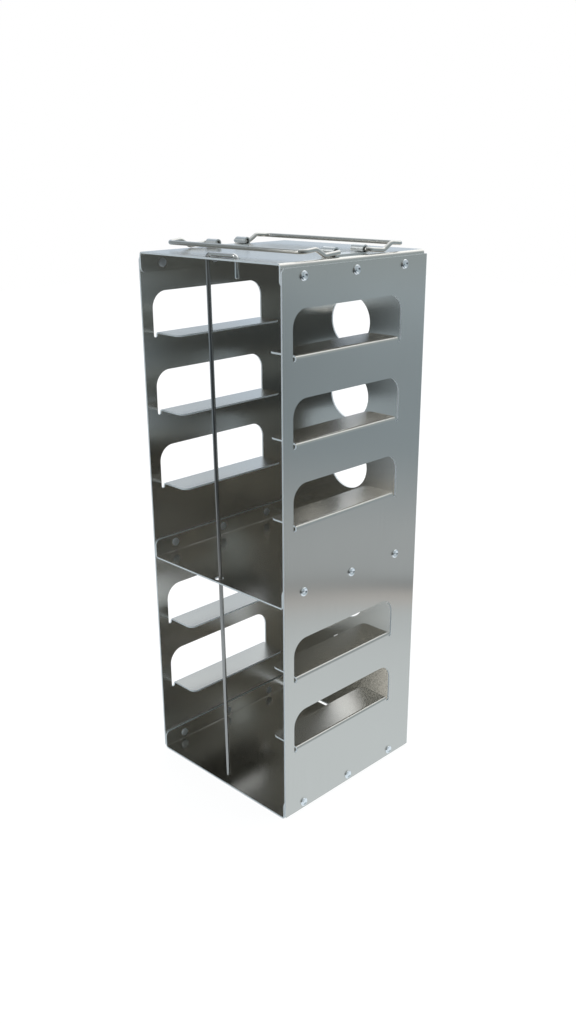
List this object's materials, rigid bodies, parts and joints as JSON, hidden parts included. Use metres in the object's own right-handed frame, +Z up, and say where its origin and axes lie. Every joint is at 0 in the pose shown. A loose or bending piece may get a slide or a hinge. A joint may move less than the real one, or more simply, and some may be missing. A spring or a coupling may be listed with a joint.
{
  "type": "vertical freezer rack",
  "caption": "Open-fronted sheet steel column with folded-in shelf tabs for stacked freezer boxes, folding lifting handles and a lift-out locking rod.",
  "frame": {"origin": "centre of the underside of the bottom plate", "axes": "+X to the right seen from the open front, +Y to the back wall, +Z up"},
  "size_m": [0.1424, 0.1424, 0.4018],
  "materials": {
    "satin_sheet": "satin brushed stainless sheet, vertical grain",
    "strap_steel": "satin stainless strip, grain along the strip",
    "rivet_steel": "smooth, bright rivet steel",
    "wire_steel": "drawn wire, semi-bright, faint warm tint"
  },
  "bodies": {
    "rack": {"rack_shell": "satin_sheet", "top_plate": "satin_sheet", "middle_plate": "satin_sheet", "bottom_plate": "satin_sheet", "top_rivets_left": "rivet_steel", "top_rivets_right": "rivet_steel", "middle_rivets_left": "rivet_steel", "middle_rivets_right": "rivet_steel", "bottom_rivets_left": "rivet_steel", "bottom_rivets_right": "rivet_steel", "hinge_strap_left": "strap_steel", "hinge_strap_right": "strap_steel"},
    "front_handle": {"front_handle": "wire_steel"},
    "rear_handle": {"rear_handle": "wire_steel"},
    "locking_rod": {"locking_rod": "wire_steel"}
  },
  "joints": [
    {"name": "front_handle_hinge", "type": "hinge", "parent": "rack", "child": "front_handle", "pos_m": [0, -0.01415, 0.39735], "axis": [-1, 0, 0], "range_deg": [0, 107]},
    {"name": "rear_handle_hinge", "type": "hinge", "parent": "rack", "child": "rear_handle", "pos_m": [0, 0.01415, 0.39735], "axis": [1, 0, 0], "range_deg": [0, 107]},
    {"name": "locking_rod_slide", "type": "slide", "parent": "rack", "child": "locking_rod", "axis": [-0.0142, 0, 0.9999], "range_m": [0, 0.38]}
  ]
}
